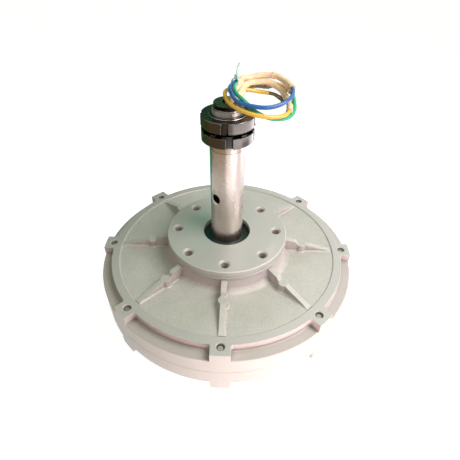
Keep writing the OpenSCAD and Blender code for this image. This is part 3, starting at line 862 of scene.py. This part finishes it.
def tie_tail():
    """The strap's free end, which bends a little, tapers and is ridged on its outer side."""
    path = []
    for i in range(TIE_TAIL_STEPS + 1):
        share = i / TIE_TAIL_STEPS
        taper = TIE_TAPER * max(0.0, share - TIE_TAPER_FROM) / (1 - TIE_TAPER_FROM)
        ridge = TIE_RIDGE if i % 2 else 0.0
        out = TIE_HEAD_OUT - TIE_TAIL_BEND * share ** 2
        up = TIE_HEAD_UP + TIE_TAIL_UP + TIE_TAIL_L * share
        path.append(((out - TIE_T / 2, up), (out + TIE_T / 2 - ridge, up),
                     (1.0 - taper) * TIE_TAIL_WIDTH))
    return strip(path)


def tie_head():
    """The block that locks the strap, on top of the loop."""
    path = []
    for rise, size in TIE_HEAD:
        half = TIE_HEAD_HALF * size
        up = TIE_HEAD_UP + rise * mm
        path.append(((TIE_HEAD_OUT - half, up), (TIE_HEAD_OUT + half, up), size * TIE_HEAD_WIDTH))
    return strip(path)


def add_tie():
    mesh = mesh_from("cable_tie_strap", *join([tie_loop(), tie_tail(), tie_head()]))
    shape = bmesh.new()
    shape.from_mesh(mesh)
    bmesh.ops.recalc_face_normals(shape, faces=shape.faces)
    shape.to_mesh(mesh)
    shape.free()
    tie = add_piece("cable_tie_strap", mesh, "tie_nylon", "shaft")
    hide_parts("cable_tie")
    return tie


add_leads(add_tie())


# ---- thread and bolts ----------------------------------------------------

THREAD_PITCH = 2 * mm
THREAD_ROOT_R = STUB_R + 0.05 * mm
THREAD_CREST_R = STUB_R + 0.75 * mm
THREAD_FADE = 6            # the ridge runs out over one part in so many, at both ends
THREAD_SIDES = 72
RIDGE_SHAPE = ((0.0, THREAD_ROOT_R), (0.38, THREAD_CREST_R),  # share of the pitch, radius
               (0.55, THREAD_CREST_R), (0.93, THREAD_ROOT_R))

BOLT_R = 4.9 * mm
BOLT_CHAMFER = 1.2 * mm
BOLT_END_Z = LUGS_Z - 3 * mm
WASHER_T = 2 * mm
WASHER_R = 10 * mm
WASHER_BORE_R = 5.2 * mm
HEAD_ACROSS = 16 * mm
HEAD_H = 6.4 * mm
HEAD_FACE = 0.93           # radius of the head's end face, as a share of its own


def add_stub_thread():
    """A helical ridge on the stub, over the nuts."""
    z0, z1 = NUT_TOP, THREAD_TOP
    steps = int((z1 - z0) / THREAD_PITCH * THREAD_SIDES)
    points = []
    for i in range(steps + 1):
        turn = angle_at(i, THREAD_SIDES)
        base = z0 + (z1 - z0 - THREAD_PITCH) * i / steps
        fade = min(1.0, THREAD_FADE * i / steps, THREAD_FADE * (steps - i) / steps)
        for along, full_r in RIDGE_SHAPE:
            r = THREAD_ROOT_R + (full_r - THREAD_ROOT_R) * fade
            points.append((r * math.cos(turn), r * math.sin(turn), base + along * THREAD_PITCH))
    count = len(RIDGE_SHAPE)
    faces = []
    for i in range(steps):
        for k in range(count - 1):
            a = i * count + k
            faces.append((a, a + count, a + count + 1, a + 1))
    add_piece("stub_thread", mesh_from("stub_thread", points, faces), "shaft_steel", "shaft")


def hexagon(across, z0, z1, chamfer):
    """A hexagonal head between two heights, chamfered at its lower side."""
    r = across / math.sqrt(3)
    points, faces = [], []
    for ring_r, z in ((r * HEAD_FACE, z0), (r, z0 + chamfer), (r, z1)):
        for i in range(6):
            a = angle_at(i, 6)
            points.append((ring_r * math.cos(a), ring_r * math.sin(a), z))
    for k in range(2):
        for i in range(6):
            n = (i + 1) % 6
            faces.append((k * 6 + i, k * 6 + n, (k + 1) * 6 + n, (k + 1) * 6 + i))
    faces.append((5, 4, 3, 2, 1, 0))
    faces.append((12, 13, 14, 15, 16, 17))
    return points, faces


def add_clamp_bolts():
    """A bolt and washer in each pair of lugs, from below."""
    washer_z = LOWER_LUGS_Z - WASHER_T
    shank = revolved([(0, washer_z), (BOLT_R, washer_z), (BOLT_R, BOLT_END_Z - BOLT_CHAMFER),
                      (BOLT_R - BOLT_CHAMFER, BOLT_END_Z), (0, BOLT_END_Z)],
                     sides=24, closed=False)
    washer = revolved([(WASHER_BORE_R, washer_z), (WASHER_R, washer_z), (WASHER_R, LOWER_LUGS_Z),
                       (WASHER_BORE_R, LOWER_LUGS_Z)], sides=32)
    head = hexagon(HEAD_ACROSS, washer_z - HEAD_H, washer_z, BOLT_CHAMFER)
    points, faces = join([shank, washer, head])
    out = Matrix.Translation((0, -BOLT_CIRCLE_R, 0))
    for i in range(LUG_COUNT):
        name = f"clamp_bolt_{i + 1}"
        mesh = mesh_from(name, points, faces)
        mesh.transform(Matrix.Rotation(angle_at(i, LUG_COUNT), 4, "Z") @ out)
        add_piece(name, mesh, "bolt_steel", "casing")


add_stub_thread()
add_clamp_bolts()


# ---- floor and light -----------------------------------------------------

FLOOR_HALF = 30
FLOOR_GREY = (0.35, 0.35, 0.35)    # with the glow, what is seen of the floor
FLOOR_GLOW = 0.9
FLOOR_BOUNCE = (0.72, 0.57, 0.55)  # what the floor throws on the object
WHITE = (1, 1, 1)
LOW_LIGHT = (0.25, 0.170, 0.185)
HIGH_LIGHT = (0.308, 0.366, 0.283)
LOW_END, HIGH_END = 0.1, 0.75      # upward part of the direction


def around(turn, radius, z):
    """A point at degrees from -Y towards +X round the shaft's axis."""
    angle = math.radians(turn)
    return radius * math.sin(angle), -radius * math.cos(angle), z


def add_floor():
    """A floor that looks almost white, and throws a pale pinkish light on the object."""
    far = FLOOR_HALF
    mesh = mesh_from("floor", [(-far, -far, 0), (far, -far, 0), (far, far, 0), (-far, far, 0)],
                     [(0, 1, 2, 3)])
    floor = bpy.data.objects.new("floor", mesh)
    bpy.context.scene.collection.objects.link(floor)
    t = material_tree("floor")
    matt = t.node("BsdfDiffuse", {"Color": rgba(FLOOR_GREY)}).outputs[0]
    glow = t.node("Emission", {"Color": rgba(WHITE), "Strength": FLOOR_GLOW}).outputs[0]
    both = t.node("AddShader", {0: matt, 1: glow}).outputs[0]
    pale = t.node("BsdfDiffuse", {"Color": rgba(FLOOR_BOUNCE)}).outputs[0]
    mesh.materials.append(t.surface(t.node("MixShader", {0: t.seen(), 1: pale, 2: both})))


def add_world():
    """White where it is seen; its light is a soft green above and a pinkish brown low down."""
    world = bpy.data.worlds.new("world")
    bpy.context.scene.world = world
    t = Tree(world, "OutputWorld")
    up = t.split(t.node("TexCoord").outputs["Generated"])[2]
    height = t.node("MapRange", {"Value": up, "From Min": LOW_END, "From Max": HIGH_END})
    tint = t.mix(height.outputs[0], LOW_LIGHT, HIGH_LIGHT)
    soft = t.node("Background", {"Color": tint}).outputs[0]
    white = t.node("Background", {"Color": rgba(WHITE)}).outputs[0]
    t.surface(t.node("MixShader", {0: t.seen(), 1: soft, 2: white}))


def add_lamp(name, at, target, size, power, colour, glossy=False):
    """A rectangular lamp that the camera doesn't see, and glossy surfaces only if glossy."""
    data = bpy.data.lights.new(name, "AREA")
    data.shape = "RECTANGLE"
    data.size, data.size_y = size
    data.energy = power
    data.color = colour
    lamp = bpy.data.objects.new(name, data)
    lamp.visible_camera = False
    lamp.visible_glossy = glossy
    lamp.location = at
    heading = Vector(target) - Vector(at)
    lamp.rotation_euler = heading.to_track_quat("-Z", "Y").to_euler()
    bpy.context.scene.collection.objects.link(lamp)


CARD_R = 0.46                  # cards round the object
SHAFT_CARD_R = 0.075           # cards round the shaft alone
SKY_CARD_R = 0.80
LOW = (0.0, 0.085)             # heights of a card's foot and top
MIDDLE = (0.085, 0.30)
BY_SHAFT = (0.163, 0.31)
CARD_STEPS = 12


def add_card(name, turns, heights, colour, strength=1.0, radius=CARD_R, lean=0.0):
    """A curved reflector card round the object, which only glossy surfaces see."""
    start, end = turns
    foot, top = heights
    points = []
    for i in range(CARD_STEPS + 1):
        turn = start + (end - start) * i / CARD_STEPS
        points.append(around(turn, radius, foot))
        points.append(around(turn, radius - lean, top))
    faces = [(2 * i, 2 * i + 2, 2 * i + 3, 2 * i + 1) for i in range(CARD_STEPS)]
    card = bpy.data.objects.new(name, mesh_from(name, points, faces))
    bpy.context.scene.collection.objects.link(card)
    t = material_tree(name)
    glow = t.node("Emission", {"Color": rgba(colour), "Strength": strength})
    card.data.materials.append(t.surface(glow))
    card.visible_camera = card.visible_diffuse = card.visible_shadow = False
    card.visible_transmission = card.visible_volume_scatter = False


def add_lights():
    """The key lamp high on the right, with a low one in front and a dim one behind."""
    add_lamp("key", around(66, 0.60, 0.94), target=(0.03, 0, 0.12), size=(0.6, 0.6), power=9.6,
             colour=(1.0, 0.945, 0.92), glossy=True)
    add_lamp("front_bounce", (0.16, -0.43, 0.03), target=(0.03, -0.2, 0.05), size=(0.5, 0.05),
             power=2.0, colour=(1.0, 0.78, 0.79))
    add_lamp("rear_fill", (0.12, 0.58, 0.40), target=(0.02, 0.15, 0.12), size=(0.5, 0.2),
             power=1.9, colour=(0.97, 0.96, 1.0))


def add_cards():
    """What the metal mirrors: greens and browns on the left, bright and grey on the right."""
    add_card("brown_card", (-112, -4), LOW, (0.40, 0.31, 0.25))
    add_card("rust_card", (-84, -4), MIDDLE, (0.52, 0.33, 0.12))
    add_card("olive_card", (-128, -84), MIDDLE, (0.20, 0.27, 0.05))
    add_card("green_card", (-185, -112), LOW, (0.0, 0.13, 0.05))
    add_card("upper_green_card", (-185, -128), MIDDLE, (0.0, 0.13, 0.05))
    add_card("near_green_card", (-188, -112), BY_SHAFT, (0.05, 0.37, 0.22), radius=SHAFT_CARD_R)
    add_card("near_bright_card", (52, 84), BY_SHAFT, (1.0, 0.92, 0.92), strength=1.5,
             radius=SHAFT_CARD_R)
    add_card("bright_card", (31, 142), LOW, (1.0, 0.93, 0.93), strength=1.8)
    add_card("upper_bright_card", (23, 142), (0.085, 0.17), (1.0, 0.93, 0.98), strength=6.2)
    add_card("grey_card", (142, 178), LOW, (0.62, 0.62, 0.60))
    add_card("upper_grey_card", (142, 178), (0.085, 0.26), (0.26, 0.26, 0.27))
    add_card("high_green_card", (-186, -105), (0.45, 1.2), (0.04, 0.20, 0.08),
             radius=SKY_CARD_R, lean=0.25)


add_floor()
add_world()
add_lights()
add_cards()

bpy.context.scene.view_settings.view_transform = "Standard"
